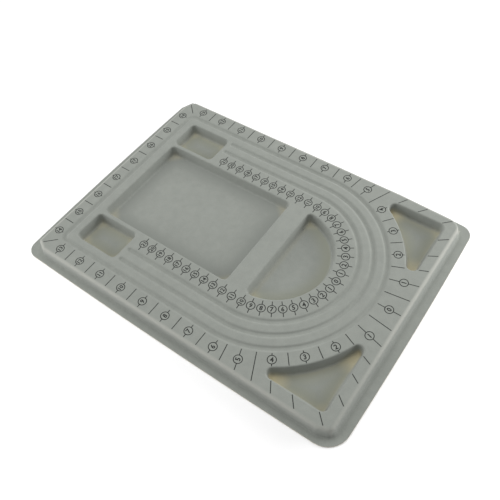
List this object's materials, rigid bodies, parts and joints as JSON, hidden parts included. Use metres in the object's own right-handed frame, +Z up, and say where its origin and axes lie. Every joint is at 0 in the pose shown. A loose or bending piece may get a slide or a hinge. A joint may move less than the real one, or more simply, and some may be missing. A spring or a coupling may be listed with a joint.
{
  "type": "bead board",
  "caption": "Flat flocked tray with concentric U-shaped necklace channels, scale bands and drafted pockets, for laying out beads before stringing.",
  "frame": {"origin": "on the table under the middle of the board", "axes": "+X along the length towards the round end of the channels, +Y across the board, +Z up"},
  "size_m": [0.34, 0.249, 0.0125],
  "materials": {
    "tray_plastic": "satin vacuum-formed polystyrene, cream",
    "flock": "matt grey flock with dark printed scales"
  },
  "bodies": {
    "root": {"formed_tray": "tray_plastic", "flock_coat": "flock"}
  },
  "joints": []
}
